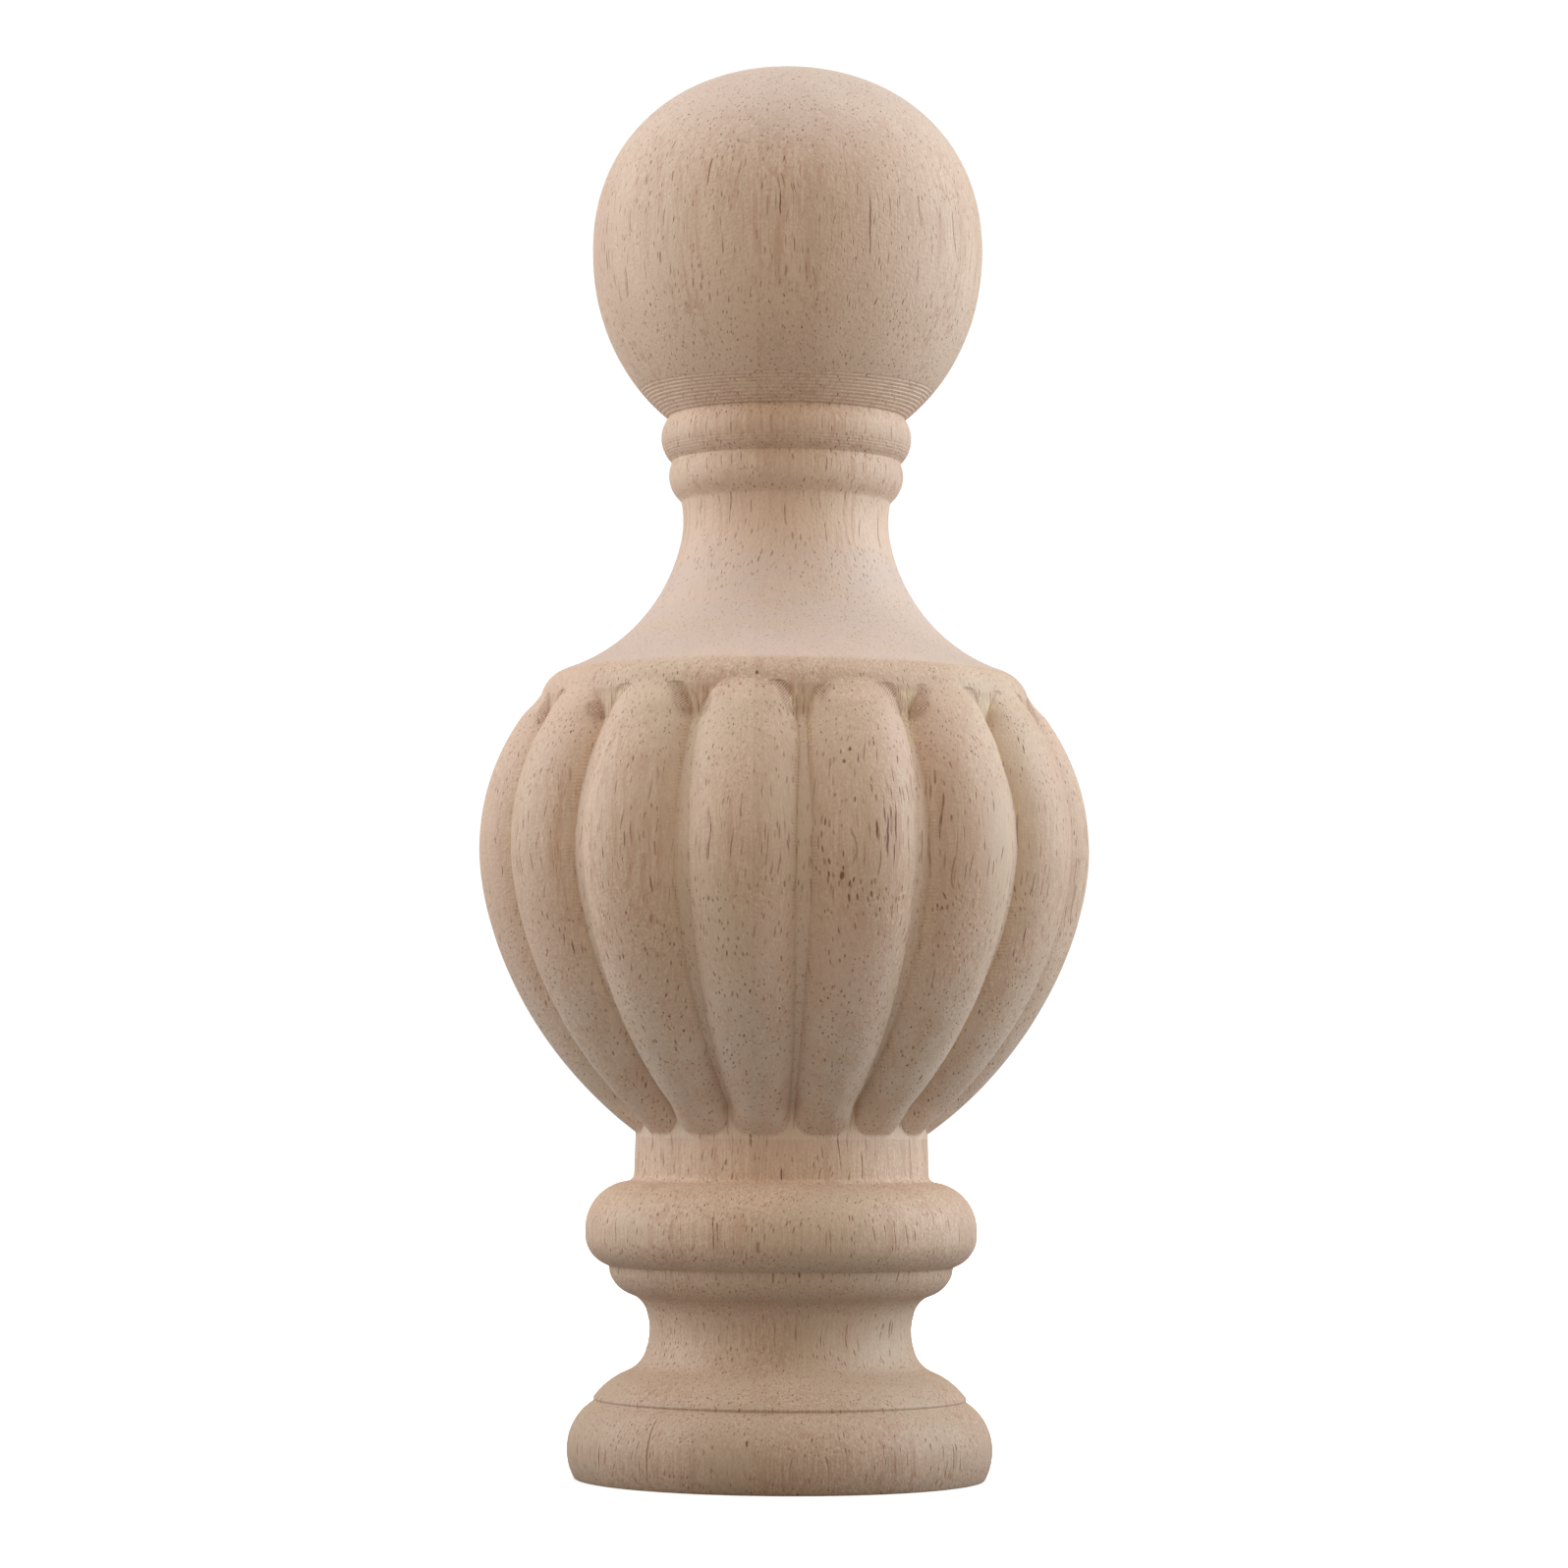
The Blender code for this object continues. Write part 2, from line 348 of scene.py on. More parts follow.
# %% The outline as a line of points that the nodes can read
def outline_mesh():
    points = upper_rows + carved_rows + lower_rows
    mesh = bpy.data.meshes.new("finial_outline")
    mesh.from_pydata([(radius, 0.0, height) for radius, height in points], [], [])
    carved_flags = [0.0] * len(upper_rows) + [1.0] * len(carved_rows) + [0.0] * len(lower_rows)
    mesh.attributes.new("carved", "FLOAT", "POINT").data.foreach_set("value", carved_flags)
    return mesh


outline = bpy.data.objects.new("carved_finial", outline_mesh())
bpy.context.scene.collection.objects.link(outline)
row_count = len(outline.data.vertices)
print("rows in all:", row_count)

# %% [markdown]
# ## Helpers for building node trees
#
# Geometry Nodes and shader nodes are both trees of small steps. Adding and joining them by hand in a
# script gets long, so each of these small functions adds one node, feeds it and hands back what comes
# out. A value can be a number or another node's output, and that output tells which tree to build in.

# %% Adding and feeding a node
def feed(socket, value):
    if isinstance(value, bpy.types.NodeSocket):
        socket.id_data.links.new(value, socket)
    else:
        socket.default_value = value


def add(kind, feeds=(), beside=None, **settings):
    """A new node in the tree of what is fed to it, or else in the tree of the socket beside it."""
    feeds = dict(feeds)
    sockets = [value for value in feeds.values() if isinstance(value, bpy.types.NodeSocket)]
    node = (sockets + [beside])[0].id_data.nodes.new(kind)
    for name, value in settings.items():
        setattr(node, name, value)
    for name, value in feeds.items():
        feed(node.inputs[name], value)
    return node


def new_group(kind, name, inputs, outputs):
    """A node tree of its own, with its inputs and outputs by name."""
    tree = bpy.data.node_groups.new(name, kind)
    for socket_name, of_type, value in inputs:
        socket = tree.interface.new_socket(socket_name, in_out="INPUT", socket_type="NodeSocket" + of_type)
        if value is not None:
            socket.default_value = value
    for socket_name, of_type in outputs:
        tree.interface.new_socket(socket_name, in_out="OUTPUT", socket_type="NodeSocket" + of_type)
    return tree, tree.nodes.new("NodeGroupInput").outputs, tree.nodes.new("NodeGroupOutput").inputs


# %% Sums with what nodes give
def maths(operation, *values):
    return add("ShaderNodeMath", enumerate(values), operation=operation).outputs[0]


def times(*values):
    return reduce(lambda first, second: maths("MULTIPLY", first, second), values)


def plus(*values):
    return reduce(lambda first, second: maths("ADD", first, second), values)


minus = partial(maths, "SUBTRACT")
over = partial(maths, "DIVIDE")
power = partial(maths, "POWER")
most = partial(maths, "MAXIMUM")


def clamped(value):
    """The value kept between 0 and 1."""
    return maths("MINIMUM", most(value, 0.0), 1.0)


def chosen(share, low, high):
    """low where share is 0, high where it is 1, and a mix between."""
    return plus(times(high, share), times(low, minus(1.0, share)))


def ramp(value, start, end, low=0.0, high=1.0, smooth=True):
    """Goes from low to high as value goes from start to end, and holds beyond them."""
    style = "SMOOTHSTEP" if smooth else "LINEAR"
    feeds = enumerate((value, start, end, low, high))
    return add("ShaderNodeMapRange", feeds, interpolation_type=style).outputs[0]


def zone(value, span):
    """1 between the two middle numbers of span, fading to 0 at its first and at its last."""
    foot, full_from, full_to, top = span
    return times(ramp(value, foot, full_from), ramp(value, top, full_to))


# %% Places and noise
def split(vector_value):
    return add("ShaderNodeSeparateXYZ", {0: vector_value}).outputs


def join(x, y, z):
    return add("ShaderNodeCombineXYZ", {0: x, 1: y, 2: z}).outputs[0]


def vector(operation, first, second=None, scale=None):
    feeds = {0: first, 1: second, "Scale": scale}
    feeds = {name: value for name, value in feeds.items() if value is not None}
    node = add("ShaderNodeVectorMath", feeds, operation=operation)
    return node.outputs["Value" if operation in ("LENGTH", "DISTANCE") else "Vector"]


def noise(place, size, detail=2.0, roughness=0.5, colour=False):
    """Noise whose lumps are about size long, given as one number or as one for each axis."""
    sizes = size if isinstance(size, tuple) else (size, size, size)
    scaled = vector("MULTIPLY", place, tuple(1.0 / s for s in sizes))
    feeds = {"Vector": scaled, "Scale": 1.0, "Detail": detail, "Roughness": roughness}
    return add("ShaderNodeTexNoise", feeds).outputs["Color" if colour else "Fac"]


def swing(place, size, roughness=0.5, detail=2.0):
    """Noise that swings about zero."""
    return minus(noise(place, size, detail, roughness), 0.5)


# %% [markdown]
# ## The carving, as a rule
#
# The lobes repeat, so the carving is a rule and not a shape: it is a Geometry Nodes tree. A flat grid is
# wrapped round the axis. Its rows take their radius and height from the outline, and in the bulb each
# column takes a place in its lobe, so that the lines of the mesh follow the edges of the lobes up into
# the round heads and down into the tips. Elsewhere three columns in four fall onto the fourth and merge,
# because plain round work needs fewer. The first and last rows close into the two poles.

# %% A small tree for the fullness curve
def build_fullness_tree():
    tree, given, result = new_group(
        "GeometryNodeTree", "Fullness curve",
        [("Radius", "Float", 1.0), ("Share", "Float", 0.0), ("Fullness", "Float", 2.0)],
        [("Radius", "Float")],
    )
    share = clamped(given["Share"])
    inside = most(minus(1.0, power(share, given["Fullness"])), 0.0)
    radius = times(given["Radius"], power(inside, over(1.0, given["Fullness"])))
    feed(result["Radius"], radius)
    return tree


fullness_tree = build_fullness_tree()
print("fullness tree:", len(fullness_tree.nodes), "nodes")


# %% The ground, and the width of a lobe
def fullness(radius, share, fullness_value):
    feeds = {"Radius": radius, "Share": share, "Fullness": fullness_value}
    return add("GeometryNodeGroup", feeds, node_tree=fullness_tree).outputs["Radius"]


def ground_radius(given, height):
    """Radius along the bottom of the valleys, and of the band's face between the heads of the lobes."""
    widest = given["Valley Widest"]
    above = over(minus(height, widest), given["Valley Rise"])
    below = over(minus(widest, height), given["Valley Drop"])
    rise = fullness(given["Valley Radius"], above, given["Valley Rise Fullness"])
    drop = fullness(given["Valley Radius"], below, given["Valley Drop Fullness"])
    over_foot = most(minus(height, given["Band Foot"]), 0.0)
    band = minus(given["Band Radius"], times(given["Band Slope"], over_foot))
    least = chosen(maths("GREATER_THAN", height, widest), given["Least Radius"], band)
    return most(maths("MINIMUM", rise, drop), least)


def closing(height, full, end, fullness_value):
    """1 up to the height full, then falling as a rounded end does to 0 at the height end."""
    share = over(minus(height, full), minus(end, full))
    return fullness(1.0, share, fullness_value)


def lobe_width(given, height, ground):
    """Share of its pitch that a lobe fills at this height."""
    widest = given["Valley Widest"]
    half_pitch = over(times(ground, math.pi), given["Lobes"])
    open_below = ramp(height, given["Tip Top"], widest, given["Floor At Tip"], 1.0)
    open_above = ramp(height, given["Arch Foot"], widest, given["Floor At Arch"], 1.0)
    valley_floor = times(given["Half Floor"], open_below, open_above)
    width = minus(1.0, over(valley_floor, half_pitch))
    arch = closing(height, given["Arch Foot"], given["Arch Top"], given["Arch Fullness"])
    tip = closing(height, given["Tip Top"], given["Tip Foot"], given["Tip Fullness"])
    return times(width, arch, tip)


# %% The edge of a lobe, cut by hand
EDGE_SHIFT = 7.3
SIDE_SHIFT = 0.3
EDGE_RUN = 3.0


def ragged_width(given, lobe, side, height, width):
    """The width made a little uneven, in another way for each side of each lobe."""
    shift = times(plus(lobe, times(side, SIDE_SHIFT)), EDGE_SHIFT)
    place = join(shift, over(height, EDGE_RUN), 0.0)
    ragged = times(swing(place, 1.0, detail=3.0), given["Ragged Edge"])
    return times(width, plus(1.0, ragged))


# %% How the mesh is laid over the carving
COLUMNS_PER_LOBE = 32
LOBE_SHARE_OF_COLUMNS = 12 / 16
TURNED_THINNING = 4
LEAST_WIDTH = 0.001
column_count = int(CARVING["Lobes"]) * COLUMNS_PER_LOBE
print("columns all round:", column_count)


def flat_grid(rows, columns):
    """A grid with a row for each point of the outline, and the row and column of each of its points."""
    last_row = minus(rows, 1)
    feeds = {"Size X": columns, "Size Y": last_row, "Vertices X": plus(columns, 1), "Vertices Y": rows}
    grid = add("GeometryNodeMeshGrid", feeds)
    place = split(add("GeometryNodeInputPosition", beside=rows).outputs[0])
    column = maths("ROUND", plus(place["X"], over(columns, 2)))
    row = maths("ROUND", plus(place["Y"], over(last_row, 2)))
    return grid.outputs["Mesh"], row, column


def read_from_row(line, row, value, kind):
    """A value of the outline, at this row."""
    feeds = {"Geometry": line, "Index": row, "Value": value}
    return add("GeometryNodeSampleIndex", feeds, data_type=kind).outputs["Value"]


def packed_columns(given, from_crest, width):
    """The place across the lobe once most columns lie on the lobe and the rest on the valley floor."""
    on_lobe = clamped(over(from_crest, LOBE_SHARE_OF_COLUMNS))
    eased_share = maths("SINE", times(on_lobe, math.pi / 2))
    floor_columns = minus(from_crest, LOBE_SHARE_OF_COLUMNS)
    past = clamped(over(floor_columns, 1.0 - LOBE_SHARE_OF_COLUMNS))
    packed = most(width, given["Least Packing"])
    return plus(times(packed, eased_share), times(minus(1.0, packed), past))


# %% The height of a lobe, and the place round the axis
WAVER_FROM = (0.5, 6.0)


def lobe_rise(given, height, full_rise, to_edge):
    """How far the surface stands out from the bottom of the valleys."""
    fallen = power(clamped(to_edge), given["Side"])
    section = power(most(minus(1.0, fallen), 0.0), over(1.0, given["Roundness"]))
    head = closing(height, given["Head Foot"], given["Arch Top"], given["Head Fullness"])
    return times(most(full_rise, 0.0), head, section)


def round_axis(radius, angle, height):
    across = times(radius, maths("COSINE", angle))
    deep = times(radius, maths("SINE", angle))
    return join(across, deep, height)


def wavered(given, place, radius):
    """The radius drawn in a little here and there, as in all work by hand, but not at the axis."""
    scaled = vector("SCALE", place, scale=over(1.0, given["Waver Size"]))
    off_axis = ramp(radius, *WAVER_FROM)
    waver = times(swing(scaled, 1.0), 2.0, given["Waver"], off_axis)
    return plus(radius, minus(waver, times(given["Waver"], off_axis)))


# %% From a sheet to a closed piece of wood
MERGE_DISTANCE = 1e-6
UNDERSIDE_NORMAL = -0.9
UNDERSIDE_HEIGHT = 0.1 * MM


def closed_piece(given, sheet):
    """The seam and the poles closed, the faces turned outward, and the two woods put on."""
    steps = {"MergeByDistance": {"Distance": MERGE_DISTANCE}, "FlipFaces": {}}
    steps["SetShadeSmooth"] = {"Shade Smooth": True}
    piece = sheet
    for kind, feeds in steps.items():
        piece = add("GeometryNode" + kind, {0: piece, **feeds}).outputs[0]
    facing = split(add("GeometryNodeInputNormal", beside=sheet).outputs[0])["Z"]
    height = split(add("GeometryNodeInputPosition", beside=sheet).outputs[0])["Z"]
    faces_down = maths("LESS_THAN", facing, UNDERSIDE_NORMAL)
    underside = times(faces_down, maths("LESS_THAN", height, UNDERSIDE_HEIGHT))
    for wood, where in ((given["Turned Wood"], True), (given["Sawn Wood"], underside)):
        feeds = {"Geometry": piece, "Selection": where, "Material": wood}
        piece = add("GeometryNodeSetMaterial", feeds).outputs["Geometry"]
    return piece


# %% The carving tree
def build_carving_tree():
    inputs = [("Outline", "Geometry", None), ("Rows", "Int", row_count), ("Columns", "Int", column_count)]
    inputs += [(name, "Float", value) for name, value in CARVING.items()]
    inputs += [("Turned Wood", "Material", None), ("Sawn Wood", "Material", None)]
    tree, given, result = new_group("GeometryNodeTree", "Turn and carve", inputs, [("Wood", "Geometry")])
    columns, lobes = given["Columns"], given["Lobes"]
    grid, row, column = flat_grid(given["Rows"], columns)

    position = add("GeometryNodeInputPosition", beside=columns).outputs[0]
    line = split(read_from_row(given["Outline"], row, position, "FLOAT_VECTOR"))
    crest, height = line["X"], line["Z"]
    flag = add("GeometryNodeInputNamedAttribute", {"Name": "carved"}, columns, data_type="FLOAT")
    carved = read_from_row(given["Outline"], row, flag.outputs["Attribute"], "FLOAT")

    # Every fourth column is kept in the turned rows.
    thin = times(maths("ROUND", over(column, TURNED_THINNING)), TURNED_THINNING)
    in_lobes = over(times(chosen(carved, thin, column), lobes), columns)
    lobe = maths("FLOOR", in_lobes)
    # Where the column stands in its lobe: -1 and 1 in the valleys, 0 on the crest.
    across = minus(times(minus(in_lobes, lobe), 2.0), 1.0)
    from_crest = maths("ABSOLUTE", across)
    side = maths("SIGN", across)

    ground = ground_radius(given, height)
    width = lobe_width(given, height, ground)
    width = ragged_width(given, lobe, side, height, width)
    on_carving = packed_columns(given, from_crest, width)
    spread = chosen(carved, from_crest, on_carving)
    lobes_round = plus(lobe, 0.5, times(side, spread, 0.5))
    first_valley = maths("RADIANS", given["First Valley"])
    angle = plus(first_valley, over(times(lobes_round, math.tau), lobes))

    to_edge = over(on_carving, most(width, LEAST_WIDTH))
    on_floor = over(minus(on_carving, width), most(minus(1.0, width), LEAST_WIDTH))
    rise = lobe_rise(given, height, minus(crest, ground), to_edge)
    radius = chosen(carved, crest, plus(ground, rise))
    radius = wavered(given, round_axis(radius, angle, height), radius)
    wrapped = vector("SCALE", round_axis(radius, angle, height), scale=MM)

    # The material reads these marks. They are worked out before the points move, on the flat grid.
    toward_valley = times(carved, plus(clamped(to_edge), clamped(on_floor)))
    across_lobe = times(spread, over(times(ground, math.pi), lobes))
    for name, value in (("valley", toward_valley), ("across_lobe", across_lobe), ("carved", carved)):
        feeds = {"Geometry": grid, "Name": name, "Value": value}
        store = add("GeometryNodeStoreNamedAttribute", feeds, data_type="FLOAT", domain="POINT")
        grid = store.outputs["Geometry"]
    sheet = add("GeometryNodeSetPosition", {"Geometry": grid, "Position": wrapped})
    feed(result["Wood"], closed_piece(given, sheet.outputs["Geometry"]))
    return tree


carving_tree = build_carving_tree()
print("carving tree:", len(carving_tree.nodes), "nodes")

# %% [markdown]
# ## The wood
#
# Rubberwood is pale and even, and what shows up close is its vessels. They are long tubes that run along
# the grain, here from foot to crown. Where the surface runs along the grain it opens them as thin dark
# streaks, and where it slopes it cuts them across and leaves dots. So the wood is made as a solid: a
# pattern through the whole block, which the surface cuts wherever it happens to lie. The blank was glued
# up from two staves, and the joint shows as a faint upright line a little left of the middle.

# %% Helpers that only materials need
def mixed(share, first, second, way="MIX"):
    """The first colour with the second laid over it by this share."""
    node = add("ShaderNodeMix", {0: share, 6: first, 7: second}, data_type="RGBA", blend_type=way)
    return node.outputs[2]


def new_material(name):
    """A material and the inputs of its shader."""
    material = bpy.data.materials.new(name)
    material.use_nodes = True
    return material, material.node_tree.nodes["Principled BSDF"].inputs


def group(tree, beside=None, **feeds):
    return add("ShaderNodeGroup", feeds, beside, node_tree=tree).outputs


def wandered(place, size, reach):
    """The place moved off by a smooth noise, by up to half of reach each way."""
    centred = vector("SUBTRACT", noise(place, size, detail=1.0, colour=True), (0.5, 0.5, 0.5))
    return vector("ADD", place, vector("SCALE", centred, scale=reach))


# %% Place in the block, in mm, with the two staves told apart
JOINT_PLACE = -4.3
STAVE_SHIFT = 61.0


def build_place_tree():
    outputs = [("Place", "Vector"), ("Stave", "Float"), ("Position", "Vector")]
    tree, _, result = new_group("ShaderNodeTree", "Place in the block", [], outputs)
    coordinates = add("ShaderNodeTexCoord", beside=result["Place"]).outputs["Object"]
    position = vector("SCALE", coordinates, scale=1.0 / MM)
    stave = maths("GREATER_THAN", split(position)["X"], JOINT_PLACE)
    shift = join(0.0, times(stave, STAVE_SHIFT), times(stave, -STAVE_SHIFT))
    feed(result["Place"], vector("ADD", position, shift))
    feed(result["Stave"], stave)
    feed(result["Position"], position)
    return tree


place_tree = build_place_tree()
print("place tree:", len(place_tree.nodes), "nodes")

# %% Vessels: tubes along the grain that wander a little
# Sizes are in mm. A name with FROM tells where something starts to show in its noise, and where it is full.
VESSEL_SPACING = 0.64
VESSEL_RADIUS = 0.082
VESSEL_EDGE = 0.055
WANDER_SIZE = 9.0
WANDER_REACH = 3.4
VESSEL_RUN = 4.0
LEAST_SIZE = 0.55
SIZE_SPREAD = 0.9
PATCH_WIDER = 0.5
CHANCE_SPREAD = 90.0
OPEN_FROM = (0.40, 0.60)
DARK_FROM = (0.80, 0.94)
PATCH_DARK = 0.22


def build_vessel_tree():
    inputs = [("Place", "Vector", None), ("Spacing", "Float", VESSEL_SPACING)]
    inputs += [("Radius", "Float", VESSEL_RADIUS), ("Patch", "Float", 0.0)]
    outputs = [("Vessel", "Float"), ("Dark", "Float")]
    tree, given, result = new_group("ShaderNodeTree", "Vessels", inputs, outputs)
    place = wandered(given["Place"], WANDER_SIZE, WANDER_REACH)
    scaled = vector("SCALE", place, scale=over(1.0, given["Spacing"]))
    cells = add("ShaderNodeTexVoronoi", {"Vector": scaled, "Scale": 1.0}, voronoi_dimensions="2D")
    away = times(cells.outputs["Distance"], given["Spacing"])
    chance = split(cells.outputs["Color"])
    by_chance = times(SIZE_SPREAD, chance["X"])
    size = plus(LEAST_SIZE, by_chance, times(PATCH_WIDER, given["Patch"]))
    radius = times(given["Radius"], size)
    inside = ramp(minus(away, radius), VESSEL_EDGE, -VESSEL_EDGE)

    # Each vessel has its own random stretches along the grain where it is open.
    height = over(split(given["Place"])["Z"], VESSEL_RUN)
    own_x = times(chance["Y"], CHANCE_SPREAD)
    own_y = times(chance["Z"], CHANCE_SPREAD)
    openness = noise(join(own_x, own_y, height), 1.0, detail=1.0)
    opened = times(inside, ramp(openness, *OPEN_FROM))
    feed(result["Vessel"], opened)
    darkness = plus(chance["Y"], times(PATCH_DARK, given["Patch"]))
    feed(result["Dark"], times(opened, ramp(darkness, *DARK_FROM)))
    return tree


vessel_tree = build_vessel_tree()
print("vessel tree:", len(vessel_tree.nodes), "nodes")

# %% Tone: growth bands, fibre and the difference between the staves
# Each layer: the size of its lumps in mm across, deep and along the grain, its roughness and its share
TONE_LAYERS = {
    "bands": ((5.0, 5.0, 110.0), 0.5, 0.8),
    "clouds": ((16.0, 16.0, 24.0), 0.5, 0.6),
    "lines": ((0.8, 0.8, 22.0), 0.6, 0.6),
}
MIDDLE_TONE = 0.5
STAVE_SHARE = 0.2
FIBRE_SIZE = (0.28, 0.28, 5.0)
SPECK_SIZE = (0.30, 0.30, 0.45)
SPECK_SHARE = 0.8
BLUSH_SIZE = (22.0, 22.0, 30.0)
RED_BAND_SIZE = (7.0, 7.0, 40.0)
RED_BANDS_FROM = (0.42, 0.62)
RED_LINE_SIZE = (0.9, 0.9, 16.0)
RED_LINES_FROM = (0.46, 0.66)
ROUGH = 0.6


def build_tone_tree():
    outputs = [("Tone", "Float"), ("Fibre", "Float"), ("Blush", "Float"), ("Red", "Float")]
    inputs = [("Place", "Vector", None), ("Stave", "Float", 0.0)]
    tree, given, result = new_group("ShaderNodeTree", "Tone of the wood", inputs, outputs)
    place = given["Place"]
    layers = []
    for size, roughness, share in TONE_LAYERS.values():
        layers.append(times(swing(place, size, roughness), share))
    layers.append(times(minus(0.5, given["Stave"]), STAVE_SHARE))
    feed(result["Tone"], plus(MIDDLE_TONE, plus(*layers)))
    specks = times(swing(place, SPECK_SIZE, ROUGH, detail=1.0), SPECK_SHARE)
    feed(result["Fibre"], plus(swing(place, FIBRE_SIZE, ROUGH), specks))
    feed(result["Blush"], noise(place, BLUSH_SIZE, detail=1.0))
    red_bands = ramp(noise(place, RED_BAND_SIZE, detail=1.0), *RED_BANDS_FROM)
    red_lines = ramp(noise(place, RED_LINE_SIZE, roughness=ROUGH), *RED_LINES_FROM)
    feed(result["Red"], times(red_bands, red_lines))
    return tree


tone_tree = build_tone_tree()
print("tone tree:", len(tone_tree.nodes), "nodes")

# %% [markdown]
# ## Torn grain, and painted shade in the creases
#
# At the heads of the lobes the cutter runs across the grain and tears it: a comb of short dark notches
# beside the valleys and pale fuzz in the corners between the heads. The crease where two cuts meet is
# darkened with painted shade. The material finds these places by the marks that the carving tree stored at
# each point.

# %% Sizes of the torn grain
# Heights of zones in mm: the foot, where it is full, where it starts to fade, and the top
HEAD_EDGES = (109.0, 111.5, 114.6, 115.4)
HEAD_CREASES = (108.0, 112.0, 114.6, 115.2)
SPANDRELS = (104.0, 109.0, 112.5, 114.6)
UNDER_BAND = (115.2, 114.6)
# Places towards the valley: 0 on the crest, 1 at the edge of the lobe, 2 in the middle of the floor
COMB_START = 0.82
START_AT_HEAD = 0.14
START_FADE = 0.15
COMB_END = 1.25
END_AT_HEAD = 0.35
END_FADE = -0.25
CREASE = (0.97, 1.02, 1.02, 1.5)
RIM = (0.84, 0.97, 1.0, 1.25)
BESIDE_LOBE = (0.92, 1.1)
COMB_PITCH = 0.52
COMB_SLANT = -1.1
COMB_ON_SIDES = 0.25
TEETH_FROM = (-0.2, 0.8)
JITTER_SIZE = 1.6
JITTER = 0.8
CALM_AT_HEAD = 0.5
PATCH_SIZE = 6.0
PATCHES_FROM = (0.42, 0.55)
CLUMP_SIZE = 4.0
CLUMPS_FROM = (0.45, 0.65)
FUZZ_FIBRE_SIZE = (0.35, 0.35, 2.2)
FUZZ_FIBRE_FROM = (0.42, 0.62)
FUZZ_ON_RIM = 0.4
FUZZ_IN_CORNERS = 0.35
FIBRE_HIDES = 0.5
print("notches in 10 mm:", round(10 / COMB_PITCH))


# %% Torn grain along the edges of the lobes
def comb(given, at_head):
    """Short notches across the edge of a lobe, many and slanting at its head, few along its side."""
    place, valley, height = given["Place"], given["Valley"], given["Height"]
    start = minus(COMB_START, times(START_AT_HEAD, at_head))
    end = plus(COMB_END, times(END_AT_HEAD, at_head))
    past_start = ramp(minus(valley, start), 0.0, START_FADE)
    before_end = ramp(minus(valley, end), 0.0, END_FADE)
    jitter = times(swing(place, JITTER_SIZE), minus(JITTER, times(CALM_AT_HEAD, at_head)))
    slanted = plus(height, times(given["Across"], COMB_SLANT, at_head))
    phase = plus(over(slanted, COMB_PITCH), jitter)
    teeth = ramp(maths("SINE", times(phase, math.tau)), *TEETH_FROM)
    patches = ramp(noise(place, PATCH_SIZE, detail=1.0), *PATCHES_FROM)
    patches = times(patches, plus(COMB_ON_SIDES, times(1.0 - COMB_ON_SIDES, at_head)))
    return times(teeth, times(past_start, before_end), patches)


def build_torn_grain_and_shade_tree():
    inputs = [("Place", "Vector", None)]
    inputs += [(name, "Float", 0.0) for name in ("Valley", "Across", "Height")]
    outputs = [("Comb", "Float"), ("Fuzz", "Float"), ("Crease", "Float")]
    tree, given, result = new_group("ShaderNodeTree", "Torn grain and crease shade", inputs, outputs)
    place, valley, height = given["Place"], given["Valley"], given["Height"]
    torn = comb(given, zone(height, HEAD_EDGES))
    feed(result["Comb"], clamped(times(torn, ramp(height, *UNDER_BAND))))

    fibre = ramp(noise(place, FUZZ_FIBRE_SIZE), *FUZZ_FIBRE_FROM)
    # Painted shade in the crease where two cuts meet at the heads, broken up by the fibre.
    crease = times(zone(valley, CREASE), zone(height, HEAD_CREASES))
    feed(result["Crease"], times(crease, minus(1.0, times(FIBRE_HIDES, fibre))))

    corners = zone(height, SPANDRELS)
    clumps = ramp(noise(place, CLUMP_SIZE, detail=1.0), *CLUMPS_FROM)
    more = plus(FUZZ_ON_RIM, times(1.0 - FUZZ_ON_RIM, corners))
    on_rim = times(zone(valley, RIM), fibre, more)
    in_corners = times(ramp(valley, *BESIDE_LOBE), corners, plus(FUZZ_IN_CORNERS, clumps), fibre)
    feed(result["Fuzz"], clamped(plus(times(on_rim, clumps), in_corners)))
    return tree


torn_grain_and_shade_tree = build_torn_grain_and_shade_tree()
print("torn grain tree:", len(torn_grain_and_shade_tree.nodes), "nodes")

# %% [markdown]
# ## Single flecks and cracks
#
# A few dark grains stand out from the pattern, and two fine cracks run up the base bead. Chance would
# not put them in their places, so each is a small stretched ball of dark wood inside the block. As a
# mark of colour it needs no mesh.

# %% Flecks and cracks
# Turn from the front in degrees, radius, height, half length and half width in mm
FLECKS = (
    (18.8, 45.3, 92.6, 3.2, 0.22),
    (16.7, 45.3, 93.4, 1.5, 0.24),
    (20.5, 45.3, 94.3, 2.8, 0.17),
    (10.7, 44.9, 87.0, 0.7, 0.36),
    (12.5, 43.0, 104.8, 0.35, 0.26),
    (11.2, 43.6, 103.0, 0.35, 0.22),
    (28.1, 44.5, 94.8, 1.9, 0.16),
    (30.7, 45.0, 93.2, 1.3, 0.15),
    (24.1, 29.2, 182.3, 3.6, 0.14),
    (-2.2, 29.1, 184.2, 2.0, 0.12),
    (-6.2, 36.1, 116.0, 0.30, 0.26),
    (5.9, 26.1, 30.8, 0.5, 0.17),
    (-8.6, 30.7, 7.3, 0.5, 0.20),
    (-37.2, 30.9, 6.9, 6.2, 0.13),
    (-56.0, 31.3, 4.3, 2.1, 0.12),
)
FLECK_DEPTH = 3.0
FLECK_EDGE = (1.2, 0.6)
FLECK_BEND_SIZE = 1.5
FLECK_BEND = 0.4


